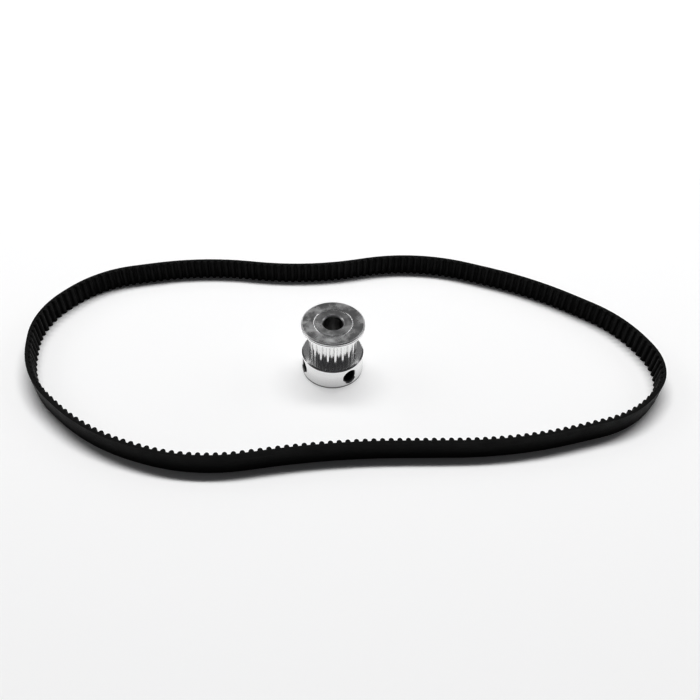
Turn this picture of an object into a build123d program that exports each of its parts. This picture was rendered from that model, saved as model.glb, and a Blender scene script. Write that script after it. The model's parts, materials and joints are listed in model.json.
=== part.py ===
"""An endless toothed timing belt standing on its edge, with a small pulley inside its loop.

The belt is built in its real layers: a rubber back, ten turns of tension cord on the pitch
line, moulded rubber teeth and the fabric that faces them. The pulley is a turned body with a
pressed-on flange and two set screws.

Millimetres, +Z up. The origin is on the ground, under the middle of the belt's loop.
"""

from build123d import *
from math import atan2, cos, degrees, hypot, pi, radians, sin, sqrt, tan
import os

os.makedirs("parts", exist_ok=True)

# ---- Belt: driving dimensions ----
PITCH = 2.0  # from tooth to tooth, along the pitch line
BELT_TEETH = 200
BELT_WIDTH = 6.0
BACK_THICKNESS = 0.63  # from the land between two teeth to the belt's back
PITCH_LINE_DEPTH = 0.254  # from the land to the middle of the cords
TOOTH_HEIGHT = 0.75
TIP_RADIUS = 0.555
FLANK_OFFSET = 0.40  # how far past the tooth's middle its flank arc is centred
ROOT_FILLET = 0.15
FACING_THICKNESS = 0.10  # nylon fabric over the teeth
CORD_DIAMETER = 0.20
CORD_SPACING = 0.55
CORD_TURNS = 10

# How the loop lies: the corners of a polygon that the pitch line rounds off, anticlockwise.
# They are scaled together until the pitch line is exactly as long as its teeth need.
LOOP_CORNERS = [
    (-79.5, -16.0),
    (-59.0, -33.0),
    (-33.5, -40.0),
    (-1.0, -33.0),
    (42.0, -30.5),
    (73.0, -20.5),
    (86.0, -4.5),
    (78.0, 14.5),
    (55.0, 30.0),
    (21.0, 41.0),
    (-12.5, 31.0),
    (-44.0, 33.5),
    (-73.0, 25.0),
    (-85.0, 7.0),
]
ROUNDING = 0.46  # share of the shorter side at a corner that its arc takes up

# ---- Pulley: driving dimensions ----
PULLEY_TEETH = 20
PULLEY_CENTRE = (-3.1, -3.7)
SCREW_AZIMUTHS = (-53.0, -158.0)  # where the two set screws point, from +X
HUB_DIAMETER = 16.0
HUB_HEIGHT = 6.5
FACE_WIDTH = 8.1  # clear width between the hub and the flange
FLANGE_DIAMETER = 16.0
FLANGE_THICKNESS = 1.4
SPIGOT_DIAMETER = 9.8  # the turned step that the flange is pressed on
BORE_DIAMETER = 5.0
GROOVE_CLEARANCE = 0.05  # between a belt tooth and its groove, all round
EDGE_BREAK = 0.35  # chamfer on the hub's and the bore's edges
FLANGE_BREAK = 0.25
JOINT_BREAK = 0.15  # chamfer on both sides of the joint between the flange and its step
RIM_LINE_DEPTH = 0.1  # fine line turned round the flange's rim
RIM_LINE_DROP = 0.6  # from the flange's face down to that line

# ---- Set screws: driving dimensions ----
SCREW_POINT_CLEARANCE = 0.1  # from the screw's point to the bore, with no shaft clamped
SCREW_RECESS = 1.4  # how far the screw's head end lies below the hub's surface
THREAD_MAJOR_DIAMETER = 4.0
THREAD_MINOR_DIAMETER = 3.3
THREAD_PITCH = 0.7
THREAD_CLEARANCE = 0.03
HEX_ACROSS_FLATS = 2.0
HEX_DEPTH = 2.0
CUP_DIAMETER = 2.0
MOUTH_DIAMETER = 4.5  # of the countersink where the tapped hole meets the hub


# ---- The pitch line ----
def corner_arc_radius(before, corner, after):
    """Radius of the arc that rounds one corner of the loop."""
    side_in = Vector(*corner) - Vector(*before)
    side_out = Vector(*after) - Vector(*corner)
    turn = radians(side_in.get_angle(side_out))
    return ROUNDING * min(side_in.length, side_out.length) / tan(turn / 2)


def rounded_loop(corners):
    """A closed line through the polygon, with every corner rounded by its own arc."""
    befores = corners[-1:] + corners[:-1]
    afters = corners[1:] + corners[:1]
    arc_radii = [corner_arc_radius(*trio) for trio in zip(befores, corners, afters)]
    with BuildLine() as loop:
        FilletPolyline(*corners, radius=arc_radii, close=True)
    return loop.wire()


drawn_loop = rounded_loop(LOOP_CORNERS)
loop_size = BELT_TEETH * PITCH / drawn_loop.length
middle = drawn_loop.bounding_box().center()
pitch_line = rounded_loop(
    [((x - middle.X) * loop_size, (y - middle.Y) * loop_size) for x, y in LOOP_CORNERS]
)


# ---- The belt's toothed outline ----
flank_radius = TIP_RADIUS + hypot(FLANK_OFFSET, TOOTH_HEIGHT - TIP_RADIUS)
flank_top_angle = degrees(atan2(TOOTH_HEIGHT - TIP_RADIUS, FLANK_OFFSET))
fillet_x = sqrt((flank_radius + ROOT_FILLET) ** 2 - ROOT_FILLET**2) - FLANK_OFFSET
flank_foot_angle = degrees(atan2(ROOT_FILLET, fillet_x + FLANK_OFFSET))


def tooth_line(cover):
    """One tooth seen from its edge: X along the belt, Y inwards from the pitch line.

    cover is how far inside the finished surface the line runs.
    """
    land = PITCH_LINE_DEPTH
    tip_centre = (0, land + TOOTH_HEIGHT - TIP_RADIUS)
    tip_sweep = 180 - 2 * flank_top_angle
    flank_sweep = flank_top_angle - flank_foot_angle
    with BuildLine() as tooth:
        CenterArc((fillet_x, land + ROOT_FILLET), ROOT_FILLET + cover, -90, flank_foot_angle - 90)
        CenterArc((-FLANK_OFFSET, land), flank_radius - cover, flank_foot_angle, flank_sweep)
        mirror(about=Plane.YZ)
        CenterArc(tip_centre, TIP_RADIUS - cover, flank_top_angle, tip_sweep)
    return tooth.line


def toothed_wire(cover):
    """The whole inner outline of the belt: every tooth, and the straight lands between them."""
    stations = [number / BELT_TEETH for number in range(BELT_TEETH)]
    seats = [
        Plane(pitch_line.position_at(station), pitch_line.tangent_at(station), (0, 0, 1))
        for station in stations
    ]
    tooth = tooth_line(cover)
    land_end = Vector(fillet_x, PITCH_LINE_DEPTH - cover)
    land_start = Vector(-fillet_x, PITCH_LINE_DEPTH - cover)
    outline = []
    for seat, next_seat in zip(seats, seats[1:] + seats[:1]):
        outline += tooth.moved(seat.location).edges()
        outline.append(
            Edge.make_line(seat.from_local_coords(land_end), next_seat.from_local_coords(land_start))
        )
    return Wire(outline)


finished_outline = toothed_wire(0)
rubber_outline = toothed_wire(FACING_THICKNESS)

# ---- Tension cords: one node for each turn of the winding ----
first_cord_height = (BELT_WIDTH - (CORD_TURNS - 1) * CORD_SPACING) / 2
cord_turns = []
for turn_number in range(CORD_TURNS):
    cord_path = pitch_line.moved(Location((0, 0, first_cord_height + turn_number * CORD_SPACING)))
    with BuildPart() as cord:
        start = Plane(origin=cord_path.position_at(0), z_dir=cord_path.tangent_at(0))
        with BuildSketch(start):
            Circle(CORD_DIAMETER / 2)
        sweep(path=cord_path)
    cord.part.label = f"tension_cord_turn_{turn_number + 1:02d}"
    export_step(cord.part, f"parts/{cord.part.label}.step")
    cord_turns.append(cord.part)

# ---- Rubber back ----
with BuildPart() as back_rubber:
    with BuildSketch() as back_section:
        make_face(pitch_line.edges())
        offset(amount=BACK_THICKNESS - PITCH_LINE_DEPTH)
        make_face(pitch_line.edges(), mode=Mode.SUBTRACT)
    extrude(amount=BELT_WIDTH)
    add(cord_turns, mode=Mode.SUBTRACT)
back_rubber.part.label = "back_rubber"
export_step(back_rubber.part, "parts/back_rubber.step")

# ---- Rubber teeth, on a web that reaches the cords ----
with BuildPart() as tooth_rubber:
    with BuildSketch():
        add(Face(pitch_line, [rubber_outline]))
    extrude(amount=BELT_WIDTH)
    add(cord_turns, mode=Mode.SUBTRACT)
tooth_rubber.part.label = "tooth_rubber"
export_step(tooth_rubber.part, "parts/tooth_rubber.step")

# ---- Fabric that faces the teeth ----
with BuildPart() as tooth_facing:
    with BuildSketch():
        add(Face(rubber_outline, [finished_outline]))
    extrude(amount=BELT_WIDTH)
tooth_facing.part.label = "tooth_facing"
export_step(tooth_facing.part, "parts/tooth_facing.step")

# ---- Pulley body: hub, toothed rim and the step that carries the flange ----
pitch_radius = PULLEY_TEETH * PITCH / (2 * pi)
rim_radius = pitch_radius - PITCH_LINE_DEPTH
hub_radius = HUB_DIAMETER / 2
bore_radius = BORE_DIAMETER / 2
flange_seat_height = HUB_HEIGHT + FACE_WIDTH
pulley_height = flange_seat_height + FLANGE_THICKNESS
screw_height = HUB_HEIGHT / 2
pulley_ground = Plane(origin=(*PULLEY_CENTRE, 0))


def groove_face():
    """The space between two pulley teeth, with the pulley's axis at the origin."""
    with BuildSketch(mode=Mode.PRIVATE) as groove:
        with BuildLine():
            tooth = add(tooth_line(-GROOVE_CLEARANCE))
            left, right = [Vector(end) for end in tooth.vertices().group_by(Axis.Y)[0].sort_by(Axis.X)]
            below = Vector(0, -TIP_RADIUS)
            Polyline(left, left + below, right + below, right)
        make_face()
    return groove.sketch.rotate(Axis.Z, 90).moved(Location((pitch_radius, 0, 0)))


# ---- The tapped holes, and the plane that each is drawn on ----
def screw_section(azimuth):
    """A plane through a screw's axis: X outwards from the pulley's axis, Y across the screw."""
    outwards = Vector(cos(radians(azimuth)), sin(radians(azimuth)), 0)
    return Plane((*PULLEY_CENTRE, screw_height), outwards, outwards.cross(Vector(0, 0, 1)))


def screw_axis(azimuth):
    """The line that a screw turns about and travels along."""
    section = screw_section(azimuth)
    return Axis(section.origin, section.x_dir)


minor_radius = THREAD_MINOR_DIAMETER / 2
major_radius = THREAD_MAJOR_DIAMETER / 2
mouth_radius = MOUTH_DIAMETER / 2
thread_depth = major_radius - minor_radius
thread_half_width = thread_depth * tan(radians(30))
thread_reach = hub_radius - bore_radius - (mouth_radius - minor_radius) - thread_half_width
thread_rings = int(thread_reach / THREAD_PITCH)


def tapped_hole(azimuth):
    """Half the outline of a tapped hole: its core, its countersunk mouth and its thread rings."""
    mouth_end = hub_radius - (mouth_radius - minor_radius)
    with BuildSketch(screw_section(azimuth)) as hole:
        with BuildLine():
            Polyline(
                (0, 0),
                (0, minor_radius),
                (mouth_end, minor_radius),
                (hub_radius, mouth_radius),
                (hub_radius + mouth_radius, mouth_radius),
                (hub_radius + mouth_radius, 0),
                close=True,
            )
        make_face()
        for ring in range(thread_rings):
            crest = mouth_end - thread_half_width - ring * THREAD_PITCH
            with BuildLine():
                Polyline(
                    (crest - thread_half_width, minor_radius),
                    (crest, major_radius),
                    (crest + thread_half_width, minor_radius),
                    close=True,
                )
            make_face()
    return hole.sketch


with BuildPart() as pulley_body:
    with BuildSketch(pulley_ground):
        Circle(hub_radius)
    extrude(amount=HUB_HEIGHT)
    chamfer(pulley_body.edges().filter_by(GeomType.CIRCLE), EDGE_BREAK)
    with BuildSketch(pulley_ground.offset(HUB_HEIGHT)):
        Circle(rim_radius)
        with PolarLocations(0, PULLEY_TEETH):
            add(groove_face(), mode=Mode.SUBTRACT)
    extrude(amount=FACE_WIDTH)
    with BuildSketch(pulley_ground.offset(flange_seat_height)):
        Circle(SPIGOT_DIAMETER / 2)
    extrude(amount=FLANGE_THICKNESS)
    chamfer(pulley_body.faces().sort_by(Axis.Z)[-1].edges(), JOINT_BREAK)
    with BuildSketch(pulley_ground):
        Circle(bore_radius)
    extrude(amount=pulley_height, mode=Mode.SUBTRACT)
    bore_mouths = pulley_body.edges().filter_by(GeomType.CIRCLE)
    chamfer(bore_mouths.filter_by(lambda edge: abs(edge.radius - bore_radius) < 0.01), EDGE_BREAK)
    for azimuth in SCREW_AZIMUTHS:
        revolve(tapped_hole(azimuth), axis=screw_axis(azimuth), mode=Mode.SUBTRACT)
pulley_body.part.label = "pulley_body"
export_step(pulley_body.part, "parts/pulley_body.step")

# ---- Flange: a ring pressed over the step at the pulley's end ----
flange_section = Plane(pulley_ground.origin, x_dir=(1, 0, 0), z_dir=(0, -1, 0))

with BuildPart() as flange_ring:
    with BuildSketch(pulley_ground.offset(flange_seat_height)):
        Circle(FLANGE_DIAMETER / 2)
        Circle(SPIGOT_DIAMETER / 2, mode=Mode.SUBTRACT)
    extrude(amount=FLANGE_THICKNESS)
    face_edges = flange_ring.faces().sort_by(Axis.Z)[-1].edges().sort_by(SortBy.RADIUS)
    chamfer(face_edges[0], JOINT_BREAK)
    rims = flange_ring.edges().filter_by(GeomType.CIRCLE).sort_by(SortBy.RADIUS)[-2:]
    chamfer(rims, FLANGE_BREAK)
    with BuildSketch(flange_section) as line_section:
        with Locations((FLANGE_DIAMETER / 2, pulley_height - RIM_LINE_DROP)):
            Rectangle(RIM_LINE_DEPTH * sqrt(2), RIM_LINE_DEPTH * sqrt(2), rotation=45)
    revolve(axis=Axis(pulley_ground.origin, (0, 0, 1)), mode=Mode.SUBTRACT)
flange_ring.part.label = "flange_ring"
export_step(flange_ring.part, "parts/flange_ring.step")

# ---- Set screws: headless, with a hexagon socket outside and a cup point inside ----
screw_radius = minor_radius - THREAD_CLEARANCE
screw_head = hub_radius - SCREW_RECESS
screw_point = bore_radius + SCREW_POINT_CLEARANCE
cup_radius = CUP_DIAMETER / 2
point_taper = screw_radius - cup_radius

for screw_number, azimuth in enumerate(SCREW_AZIMUTHS, start=1):
    section = screw_section(azimuth)
    with BuildPart() as screw:
        with BuildSketch(section):
            with BuildLine():
                Polyline(
                    (screw_point + cup_radius * tan(radians(30)), 0),
                    (screw_point, cup_radius),
                    (screw_point + point_taper, screw_radius),
                    (screw_head - EDGE_BREAK / 2, screw_radius),
                    (screw_head, screw_radius - EDGE_BREAK / 2),
                    (screw_head, 0),
                    close=True,
                )
            make_face()
        revolve(axis=screw_axis(azimuth))
        with BuildSketch(Plane(section.origin + section.x_dir * screw_head, z_dir=section.x_dir)):
            RegularPolygon(HEX_ACROSS_FLATS / 2, side_count=6, major_radius=False)
        extrude(amount=-HEX_DEPTH, mode=Mode.SUBTRACT)
    screw.part.label = f"set_screw_{screw_number}"
    export_step(screw.part, f"parts/{screw.part.label}.step")
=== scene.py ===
import json
from math import pi, radians

import bmesh
import bpy
from mathutils import Matrix, Vector

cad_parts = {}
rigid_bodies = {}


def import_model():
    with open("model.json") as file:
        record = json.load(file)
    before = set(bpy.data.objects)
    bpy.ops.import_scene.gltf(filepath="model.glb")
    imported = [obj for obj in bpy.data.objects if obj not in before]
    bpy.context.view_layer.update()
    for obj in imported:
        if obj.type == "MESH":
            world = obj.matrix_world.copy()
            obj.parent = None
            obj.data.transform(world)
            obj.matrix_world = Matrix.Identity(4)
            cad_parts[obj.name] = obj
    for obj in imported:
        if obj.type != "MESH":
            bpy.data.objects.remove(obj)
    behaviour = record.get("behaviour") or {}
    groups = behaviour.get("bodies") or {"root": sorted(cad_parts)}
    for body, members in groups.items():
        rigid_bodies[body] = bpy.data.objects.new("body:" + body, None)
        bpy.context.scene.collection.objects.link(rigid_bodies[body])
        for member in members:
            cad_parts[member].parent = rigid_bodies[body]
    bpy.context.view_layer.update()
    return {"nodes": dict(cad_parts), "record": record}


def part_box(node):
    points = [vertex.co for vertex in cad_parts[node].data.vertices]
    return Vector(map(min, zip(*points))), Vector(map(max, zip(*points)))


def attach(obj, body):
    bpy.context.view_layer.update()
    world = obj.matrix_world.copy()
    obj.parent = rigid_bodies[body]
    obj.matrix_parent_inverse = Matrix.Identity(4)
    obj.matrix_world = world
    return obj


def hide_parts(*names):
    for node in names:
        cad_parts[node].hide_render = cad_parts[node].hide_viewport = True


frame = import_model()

nodes = frame["nodes"]
scene = bpy.context.scene


# ---- Camera ----
# A small camera held 13 cm above the card and 9 cm in front of the loop, looking down into it
# at 45 degrees and turned a little out of level.
camera_data = bpy.data.cameras.new("camera")
camera_data.sensor_width = 36
camera_data.lens = 33.95
camera = bpy.data.objects.new("camera", camera_data)
tilt = Matrix.Rotation(radians(90 - 45.03), 4, "X")
roll = Matrix.Rotation(radians(2.39), 4, "Z")
camera.matrix_world = Matrix.Translation((0.0014, -0.12494, 0.12795)) @ tilt @ roll
scene.collection.objects.link(camera)
scene.camera = camera


# ---- Ground and light ----
# White card, pale to the horizon. A long bar lamp above and behind the loop throws the belt's
# short dark shadow; the metal is screened off from it. A softer lamp in the same place gives the
# pulley its paler shadow, and three broad panels show in the metal.
scene.view_settings.view_transform = "Standard"
scene.view_settings.look = "High Contrast"

card_mesh = bpy.data.meshes.new("card")
shape = bmesh.new()
bmesh.ops.create_grid(shape, x_segments=1, y_segments=1, size=3)
shape.to_mesh(card_mesh)
shape.free()
card = bpy.data.objects.new("card", card_mesh)
scene.collection.objects.link(card)
card_paint = bpy.data.materials.new("white_card")
card_paint.use_nodes = True
card_tree = card_paint.node_tree
card_shader = card_tree.nodes["Principled BSDF"]
card_shader.inputs["Base Color"].default_value = (0.9, 0.9, 0.9, 1)
card_shader.inputs["Roughness"].default_value = 0.9
card_shader.inputs["Specular IOR Level"].default_value = 0.1
card_mesh.materials.append(card_paint)

room = bpy.data.worlds.new("room")
room.use_nodes = True
room_tree = room.node_tree
scene.world = room


def wire(source, output, target, entry):
    """Joins one shader node's output to another's input."""
    source.id_data.links.new(source.outputs[output], target.inputs[entry])


def new_node(tree, kind, inputs=None, **settings):
    """A shader node with its properties and its unlinked inputs set."""
    made = tree.nodes.new("ShaderNode" + kind)
    for key, value in settings.items():
        setattr(made, key, value)
    for key, value in (inputs or {}).items():
        made.inputs[key].default_value = value
    return made


# To the camera alone, the card fades into a pale studio as it runs off, so that no dark horizon
# shows. All other rays meet the card itself and a dim grey room.
backdrop = (0.93, 0.93, 0.93, 1)
dim_room = room_tree.nodes["Background"]
dim_room.inputs["Color"].default_value = (0.06, 0.06, 0.062, 1)
pale_room = new_node(room_tree, "Background", {"Color": backdrop})
seen = new_node(room_tree, "LightPath")
either = new_node(room_tree, "MixShader")
wire(seen, "Is Camera Ray", either, "Fac")
wire(dim_room, "Background", either, 1)
wire(pale_room, "Background", either, 2)
wire(either, "Shader", room_tree.nodes["World Output"], "Surface")

glow = new_node(card_tree, "Emission", {"Color": backdrop})
seen = new_node(card_tree, "LightPath")
place = new_node(card_tree, "TexCoord")
distance = new_node(card_tree, "VectorMath", operation="LENGTH")
wire(place, "Object", distance, "Vector")
far_off = new_node(card_tree, "MapRange", {"From Min": 0.16, "From Max": 0.45},
                   interpolation_type="SMOOTHSTEP")
wire(distance, "Value", far_off, "Value")
seen_far_off = new_node(card_tree, "Math", operation="MULTIPLY")
wire(far_off, "Result", seen_far_off, 0)
wire(seen, "Is Camera Ray", seen_far_off, 1)
either = new_node(card_tree, "MixShader")
wire(seen_far_off, "Value", either, "Fac")
wire(card_shader, "BSDF", either, 1)
wire(glow, "Emission", either, 2)
wire(either, "Shader", card_tree.nodes["Material Output"], "Surface")


def lamp(name, place, long_side, short_side, watts):
    """A rectangular soft box, long side level, that faces the middle of the loop."""
    light = bpy.data.lights.new(name, "AREA")
    light.shape = "RECTANGLE"
    light.size = long_side
    light.size_y = short_side
    light.energy = watts
    box = bpy.data.objects.new(name, light)
    box.location = place
    box.rotation_euler = (-Vector(place)).to_track_quat("-Z", "Y").to_euler()
    scene.collection.objects.link(box)
    return box


bar_place = (0, 0.37, 0.98)
bar_lamp = lamp("bar_lamp", bar_place, 1.0, 0.08, 5.2)
lamp("overhead_lamp", bar_place, 1.1, 0.2, 3.3)
lamp("left_panel", (-0.9, 0.25, 0.6), 0.7, 0.5, 0.8)
lamp("right_panel", (0.9, 0.35, 0.6), 0.7, 0.5, 0.6)
lamp("rear_panel", (0, 1.5, 1.5), 1.6, 1.0, 0.5)

belt_set = bpy.data.collections.new("lit_by_bar")
for name in frame["record"]["behaviour"]["bodies"]["belt"]:
    belt_set.objects.link(nodes[name])
bar_lamp.light_linking.blocker_collection = belt_set
lit_set = bpy.data.collections.new("lit_by_bar_with_card")
for thing in (*belt_set.objects, card):
    lit_set.objects.link(thing)
bar_lamp.light_linking.receiver_collection = lit_set


# ---- Rubber back and teeth ----
# Black chloroprene rubber, vulcanised round the cords in a mould and then slit to width. The
# back is ground to thickness, which leaves faint lines along the belt; the cut edges are matt.
def new_material(name):
    """An empty material: returns it with its node tree and its shader."""
    material = bpy.data.materials.new(name)
    material.use_nodes = True
    return material, material.node_tree, material.node_tree.nodes["Principled BSDF"]


def ramp(tree, source, output, stops):
    """A colour ramp over a value, from a list of (position, grey or colour)."""
    made = tree.nodes.new("ShaderNodeValToRGB")
    while len(made.color_ramp.elements) < len(stops):
        made.color_ramp.elements.new(0.5)
    for element, (position, colour) in zip(made.color_ramp.elements, stops):
        element.position = position
        element.color = (*colour, 1) if isinstance(colour, tuple) else (colour,) * 3 + (1,)
    wire(source, output, made, "Fac")
    return made


def bump(tree, height, output, depth, strength=1.0, over=None):
    """Relief of a real depth in metres, laid over another relief if one is given."""
    made = new_node(tree, "Bump", {"Strength": strength, "Distance": depth})
    wire(height, output, made, "Height")
    if over:
        wire(over, "Normal", made, "Normal")
    return made


def coat(node, material):
    """Gives a CAD node its material."""
    nodes[node].data.materials.clear()
    nodes[node].data.materials.append(material)


def step(tree, source, output, start, end):
    """0 below start, 1 above end and even in between; the other way round if end is lower."""
    made = new_node(tree, "MapRange", {"From Min": start, "From Max": end})
    wire(source, output, made, "Value")
    return made


def blend(tree, share, one, other):
    """one where share is 0 and other where it is 1; each is a number or a (node, output)."""
    made = new_node(tree, "Mix", data_type="FLOAT")
    wire(share, "Result", made, "Factor")
    for value, entry in ((one, "A"), (other, "B")):
        if isinstance(value, tuple):
            wire(*value, made, entry)
        else:
            made.inputs[entry].default_value = value
    return made


belt_foot, belt_top = (corner[2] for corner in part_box("back_rubber"))
rubber, tree, shader = new_material("black_chloroprene")
shader.inputs["Specular IOR Level"].default_value = 0.25
place = new_node(tree, "TexCoord")
along = new_node(tree, "Mapping", {"Scale": (120, 120, 9000)})
wire(place, "Object", along, "Vector")
ground_lines = new_node(tree, "TexNoise", {"Scale": 1, "Detail": 5, "Roughness": 0.65})
wire(along, "Vector", ground_lines, "Vector")
pores = new_node(tree, "TexNoise", {"Scale": 9000, "Detail": 3})
wire(place, "Object", pores, "Vector")
bloom = new_node(tree, "TexNoise", {"Scale": 130, "Detail": 6, "Roughness": 0.65})
wire(place, "Object", bloom, "Vector")
belt_height = new_node(tree, "SeparateXYZ")
wire(place, "Object", belt_height, "Vector")
near_top = step(tree, belt_height, "Z", belt_top - 0.00005, belt_top - 0.00002)
near_foot = step(tree, belt_height, "Z", belt_foot + 0.00005, belt_foot + 0.00002)
cut_edge = blend(tree, near_top, (near_foot, "Result"), 1.0)
line_tone = ramp(tree, ground_lines, "Fac", [(0.4, 0.004), (0.55, 0.006), (0.68, 0.022)])
cut_tone = ramp(tree, pores, "Fac", [(0.4, 0.006), (0.7, 0.016)])
tone = blend(tree, cut_edge, (line_tone, "Color"), (cut_tone, "Color"))
wire(tone, "Result", shader, "Base Color")
bloom_sheen = ramp(tree, bloom, "Fac", [(0.3, 0.38), (0.7, 0.62)])
sheen = blend(tree, cut_edge, (bloom_sheen, "Color"), 0.8)
wire(sheen, "Result", shader, "Roughness")
line_relief = bump(tree, ground_lines, "Fac", 0.00003)
pore_relief = bump(tree, pores, "Fac", 0.00001, over=line_relief)
wire(pore_relief, "Normal", shader, "Normal")
coat("back_rubber", rubber)
coat("tooth_rubber", rubber)


# ---- Tooth facing ----
# A thin black nylon cloth, plain woven, moulded on over the teeth to take the wear. The piece
# is the moulded layer itself, with a UV map that unrolls it, so that its threads run along and
# across the belt.
def unrolled(node, name):
    """A copy of a belt layer whose UV map, in metres, runs along its surface and across it."""
    shape = bmesh.new()
    shape.from_mesh(nodes[node].data)
    bmesh.ops.remove_doubles(shape, verts=shape.verts, dist=1e-7)
    uv = shape.loops.layers.uv.new("unrolled")
    foot = min(vert.co.z for vert in shape.verts)
    wall_slope = 0.5  # a face whose normal is less upright than this stands on edge
    walls = [face for face in shape.faces if abs(face.normal.z) < wall_slope]
    neighbours = {}
    for face in walls:
        for edge in face.edges:
            if all(vert.co.z < foot + 1e-6 for vert in edge.verts):
                one, other = edge.verts
                neighbours.setdefault(one, set()).add(other)
                neighbours.setdefault(other, set()).add(one)
    distance = {}
    lengths = {}
    for start in sorted(neighbours, key=lambda vert: vert.index):
        if flat_key(start) in distance:
            continue
        here, before, travelled = start, None, 0.0
        run = []
        while flat_key(here) not in distance:
            distance[flat_key(here)] = travelled
            run.append(flat_key(here))
            ahead = [vert for vert in neighbours[here] if vert is not before]
            after = min(ahead, key=lambda vert: (flat_key(vert) in distance, vert.index))
            travelled += (after.co - here.co).length
            before, here = here, after
        for key in run:
            lengths[key] = travelled
    for face in shape.faces:
        corners = [distance.get(flat_key(loop.vert), 0.0) for loop in face.loops]
        whole = lengths.get(flat_key(face.loops[0].vert), 0.0)
        if max(corners) - min(corners) > whole / 2:
            corners = [corner if corner > whole / 2 else corner + whole for corner in corners]
        for loop, corner in zip(face.loops, corners):
            if abs(face.normal.z) < wall_slope:
                loop[uv].uv = (corner, loop.vert.co.z)
            else:
                loop[uv].uv = (loop.vert.co.x, loop.vert.co.y)
    mesh = bpy.data.meshes.new(name)
    shape.to_mesh(mesh)
    shape.free()
    piece = bpy.data.objects.new(name, mesh)
    scene.collection.objects.link(piece)
    return piece


def flat_key(vert):
    """A vertex's place in plan, the same for both edges of the belt."""
    return round(vert.co.x, 7), round(vert.co.y, 7)


cloth, tree, shader = new_material("nylon_facing")
shader.inputs["Specular IOR Level"].default_value = 0.3
shader.inputs["Sheen Weight"].default_value = 0.05
shader.inputs["Sheen Roughness"].default_value = 0.4
thread = 0.00018  # from one thread to the next
unroll = new_node(tree, "UVMap", uv_map="unrolled")
threads = new_node(tree, "Mapping", {"Scale": (1 / thread, 1 / thread, 1)})
wire(unroll, "UV", threads, "Vector")
split = new_node(tree, "SeparateXYZ")
wire(threads, "Vector", split, "Vector")


def thread_rounding(output):
    """The rounded top of the threads that run one way, from 0 between two to 1 on top."""
    turn = new_node(tree, "Math", {1: pi}, operation="MULTIPLY")
    wire(split, output, turn, 0)
    wave = new_node(tree, "Math", operation="SINE")
    wire(turn, "Value", wave, 0)
    top = new_node(tree, "Math", operation="ABSOLUTE")
    wire(wave, "Value", top, 0)
    return top


over_under = new_node(tree, "TexChecker", {"Scale": 1})
wire(threads, "Vector", over_under, "Vector")
weave = new_node(tree, "Mix", data_type="FLOAT")
wire(over_under, "Fac", weave, "Factor")
wire(thread_rounding("X"), "Value", weave, "A")
wire(thread_rounding("Y"), "Value", weave, "B")
place = new_node(tree, "TexCoord")
wear = new_node(tree, "TexNoise", {"Scale": 220, "Detail": 5, "Roughness": 0.6})
wire(place, "Object", wear, "Vector")
# Painted shade: the cloth is darker in the gaps between threads than on their tops.
tone = ramp(tree, weave, "Result", [(0.1, 0.003), (0.95, 0.011)])
wire(tone, "Color", shader, "Base Color")
sheen = ramp(tree, wear, "Fac", [(0.35, 0.45), (0.7, 0.7)])
wire(sheen, "Color", shader, "Roughness")
wire(bump(tree, weave, "Result", 0.00003, 0.7), "Normal", shader, "Normal")
facing = unrolled("tooth_facing", "woven_facing")
facing.data.materials.append(cloth)
belt_set.objects.link(facing)
lit_set.objects.link(facing)
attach(facing, "belt")
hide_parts("tooth_facing")


# ---- Tension cords ----
# Twisted glass-fibre yarn, wound round and round at the pitch line before the rubber goes on.
# It keeps the belt from stretching, and the rubber hides it on every side.
glass, tree, shader = new_material("glass_yarn")
shader.inputs["Roughness"].default_value = 0.45
place = new_node(tree, "TexCoord")
twist = new_node(tree, "Mapping", {"Rotation": (0, 0, radians(35)), "Scale": (9000, 9000, 16000)})
wire(place, "Object", twist, "Vector")
strands = new_node(tree, "TexWave", {"Scale": 1, "Distortion": 1.5, "Detail": 2})
wire(twist, "Vector", strands, "Vector")
tone = ramp(tree, strands, "Fac", [(0.2, (0.42, 0.40, 0.34)), (0.8, (0.80, 0.78, 0.70))])
wire(tone, "Color", shader, "Base Color")
wire(bump(tree, strands, "Fac", 0.00001), "Normal", shader, "Normal")
for name in nodes:
    if name.startswith("tension_cord"):
        coat(name, glass)


# ---- Pulley body and flange ----
# Both are turned from aluminium bar: the tool leaves fine rings on every face and round every
# rim. The end face is stained by handling in patches and painted darker overall as shade, its
# edge rings are worn bright and partly painted as highlights, and its holes are rough and painted
# dark as shade. The hub's wall is painted darker towards its foot, with a painted contact shadow
# along its lowest edge.
mounts = {mount["name"]: mount for mount in frame["record"]["mounts"]}
axle = mounts["pulley_bore"]["pos_m"]
bore_radius = 0.0025
joint_radius = 0.0049  # where the flange meets the step that it is pressed on
rim_radius = 0.0080
hub_top = 0.0065
pulley_top = 0.0160


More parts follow.
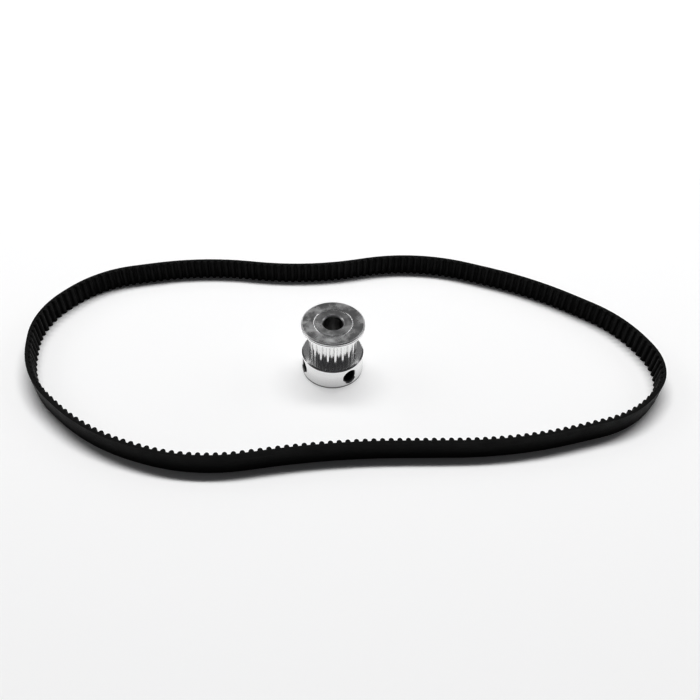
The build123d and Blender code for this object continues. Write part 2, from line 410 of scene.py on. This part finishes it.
def turned_aluminium(name, patch_scale, patch_place, matt, polished):
    """Aluminium turned about the pulley's axis, with matt and polished patches on its end."""
    material, tree, shader = new_material(name)
    shader.inputs["Metallic"].default_value = 1
    place = new_node(tree, "TexCoord")
    centred = new_node(tree, "Mapping", {"Location": (-axle[0], -axle[1], 0)})
    wire(place, "Object", centred, "Vector")
    flat = new_node(tree, "VectorMath", {1: (1, 1, 0)}, operation="MULTIPLY")
    wire(centred, "Vector", flat, 0)
    radius = new_node(tree, "VectorMath", operation="LENGTH")
    wire(flat, "Vector", radius, 0)
    height = new_node(tree, "SeparateXYZ")
    wire(centred, "Vector", height, "Vector")
    lathe = new_node(tree, "CombineXYZ")
    wire(radius, "Value", lathe, "X")
    wire(height, "Z", lathe, "Z")
    rings = new_node(tree, "TexNoise", {"Scale": 9000, "Detail": 3, "Roughness": 0.7})
    wire(lathe, "Vector", rings, "Vector")
    scratched = new_node(tree, "Mapping", {"Rotation": (0, 0, radians(28)), "Scale": (1, 7, 1)})
    wire(centred, "Vector", scratched, "Vector")
    scratches = new_node(tree, "TexNoise", {"Scale": 2600, "Detail": 5, "Roughness": 0.75})
    wire(scratched, "Vector", scratches, "Vector")

    shifted = new_node(tree, "Mapping", {"Location": patch_place})
    wire(centred, "Vector", shifted, "Vector")
    patches = new_node(tree, "TexNoise", {"Scale": patch_scale, "Detail": 7, "Roughness": 0.55})
    wire(shifted, "Vector", patches, "Vector")
    on_end = step(tree, height, "Z", pulley_top - 0.0006, pulley_top - 0.0004)
    polish = ramp(tree, patches, "Fac", [(0.42, polished), (0.68, matt)])
    end_polish = blend(tree, on_end, 0.2, (polish, "Color"))
    wear_and_glint = edge_wear_and_glint(tree, radius, on_end)
    worn_polish = blend(tree, wear_and_glint, (end_polish, "Result"), 0.38)
    bore_wall, tapped_wall = hole_walls(tree, radius, height)
    bored_polish = blend(tree, bore_wall, (worn_polish, "Result"), 0.36)
    gloss = blend(tree, tapped_wall, (bored_polish, "Result"), 0.6)
    wire(gloss, "Result", shader, "Roughness")

    # The walls keep one clean grey. The end face is painted darker, partly as handling stains in
    # patches and partly as painted shade.
    grey = ramp(tree, patches, "Fac", [(0.4, 0.5), (0.66, 0.8)])
    end_grey = blend(tree, on_end, 0.9, (grey, "Color"))
    # The edge rings are painted bright: partly wear, partly a painted highlight on the chamfers.
    wear_and_glint_grey = blend(tree, wear_and_glint, (end_grey, "Result"), 0.97)
    # Painted shade: the hub's wall grows darker towards its foot.
    foot = new_node(tree, "MapRange", {"From Min": 0.0045, "From Max": 0.0, "To Max": 0.45})
    wire(height, "Z", foot, "Value")
    foot_shaded_grey = blend(tree, foot, (wear_and_glint_grey, "Result"), 0.35)
    # Painted contact shadow: a dark band along the lowest half millimetre of the hub.
    painted_contact_shadow = step(tree, height, "Z", 0.0009, 0.0005)
    contact_shadowed_grey = blend(tree, painted_contact_shadow, (foot_shaded_grey, "Result"), 0.12)
    # Painted shade inside the holes: the bore's wall is painted darker and the tapped holes' walls
    # nearly black.
    bore_shaded_grey = blend(tree, bore_wall, (contact_shadowed_grey, "Result"), 0.5)
    tone = blend(tree, tapped_wall, (bore_shaded_grey, "Result"), 0.1)
    wire(tone, "Result", shader, "Base Color")

    turned = bump(tree, rings, "Fac", 0.0000035)
    wire(bump(tree, scratches, "Fac", 0.000003, over=turned), "Normal", shader, "Normal")
    return material


def product(tree, one, other):
    """The product of two shares."""
    made = new_node(tree, "Mix", {"A": 0.0}, data_type="FLOAT")
    wire(one, "Result", made, "Factor")
    wire(other, "Result", made, "B")
    return made


def edge_wear_and_glint(tree, radius, on_end):
    """1 on the end face's three edges: the bore's, the flange joint's and the rim's."""
    profile_reach = 0.01
    scaled = new_node(tree, "MapRange", {"From Max": profile_reach})
    wire(radius, "Value", scaled, "Value")
    stops = [(bore_radius + 0.00025, 1), (bore_radius + 0.00045, 0), (joint_radius - 0.0002, 0),
             (joint_radius - 0.0001, 1), (joint_radius + 0.0001, 1), (joint_radius + 0.0002, 0),
             (rim_radius - 0.0004, 0), (rim_radius - 0.00025, 1)]
    edges = ramp(tree, scaled, "Result", [(place / profile_reach, value) for place, value in stops])
    share = new_node(tree, "Mix", data_type="FLOAT")
    wire(on_end, "Result", share, "Factor")
    wire(edges, "Color", share, "B")
    return share


def hole_walls(tree, radius, height):
    """Two shares: 1 inside the bore, and 1 inside the tapped holes."""
    in_bore = step(tree, radius, "Value", bore_radius + 0.0002, bore_radius + 0.0001)
    in_rim = step(tree, radius, "Value", rim_radius - 0.0002, rim_radius - 0.0003)
    over_foot = step(tree, height, "Z", 0.0003, 0.0004)
    under_hub = step(tree, height, "Z", hub_top - 0.0003, hub_top - 0.0004)
    in_hub = product(tree, product(tree, over_foot, under_hub), in_rim)
    past_bore = step(tree, radius, "Value", bore_radius + 0.0001, bore_radius + 0.0002)
    return in_bore, product(tree, in_hub, past_bore)


coat("pulley_body", turned_aluminium("turned_body", 380, (0, 0, 0), 0.31, 0.22))
coat("flange_ring", turned_aluminium("turned_flange", 300, (0.004, 0.001, 0), 0.37, 0.22))


# ---- Set screws ----
# Headless steel screws, blackened, each with a hexagon socket. They sit in the hub's two tapped
# holes, a little below its surface, and clamp the pulley's shaft.
steel, tree, shader = new_material("blackened_steel")
shader.inputs["Metallic"].default_value = 1
place = new_node(tree, "TexCoord")
scale_marks = new_node(tree, "TexNoise", {"Scale": 2500, "Detail": 4})
wire(place, "Object", scale_marks, "Vector")
tone = ramp(tree, scale_marks, "Fac", [(0.35, 0.012), (0.7, 0.04)])
wire(tone, "Color", shader, "Base Color")
sheen = ramp(tree, scale_marks, "Fac", [(0.3, 0.35), (0.7, 0.55)])
wire(sheen, "Color", shader, "Roughness")
wire(bump(tree, scale_marks, "Fac", 0.000006), "Normal", shader, "Normal")
coat("set_screw_1", steel)
coat("set_screw_2", steel)
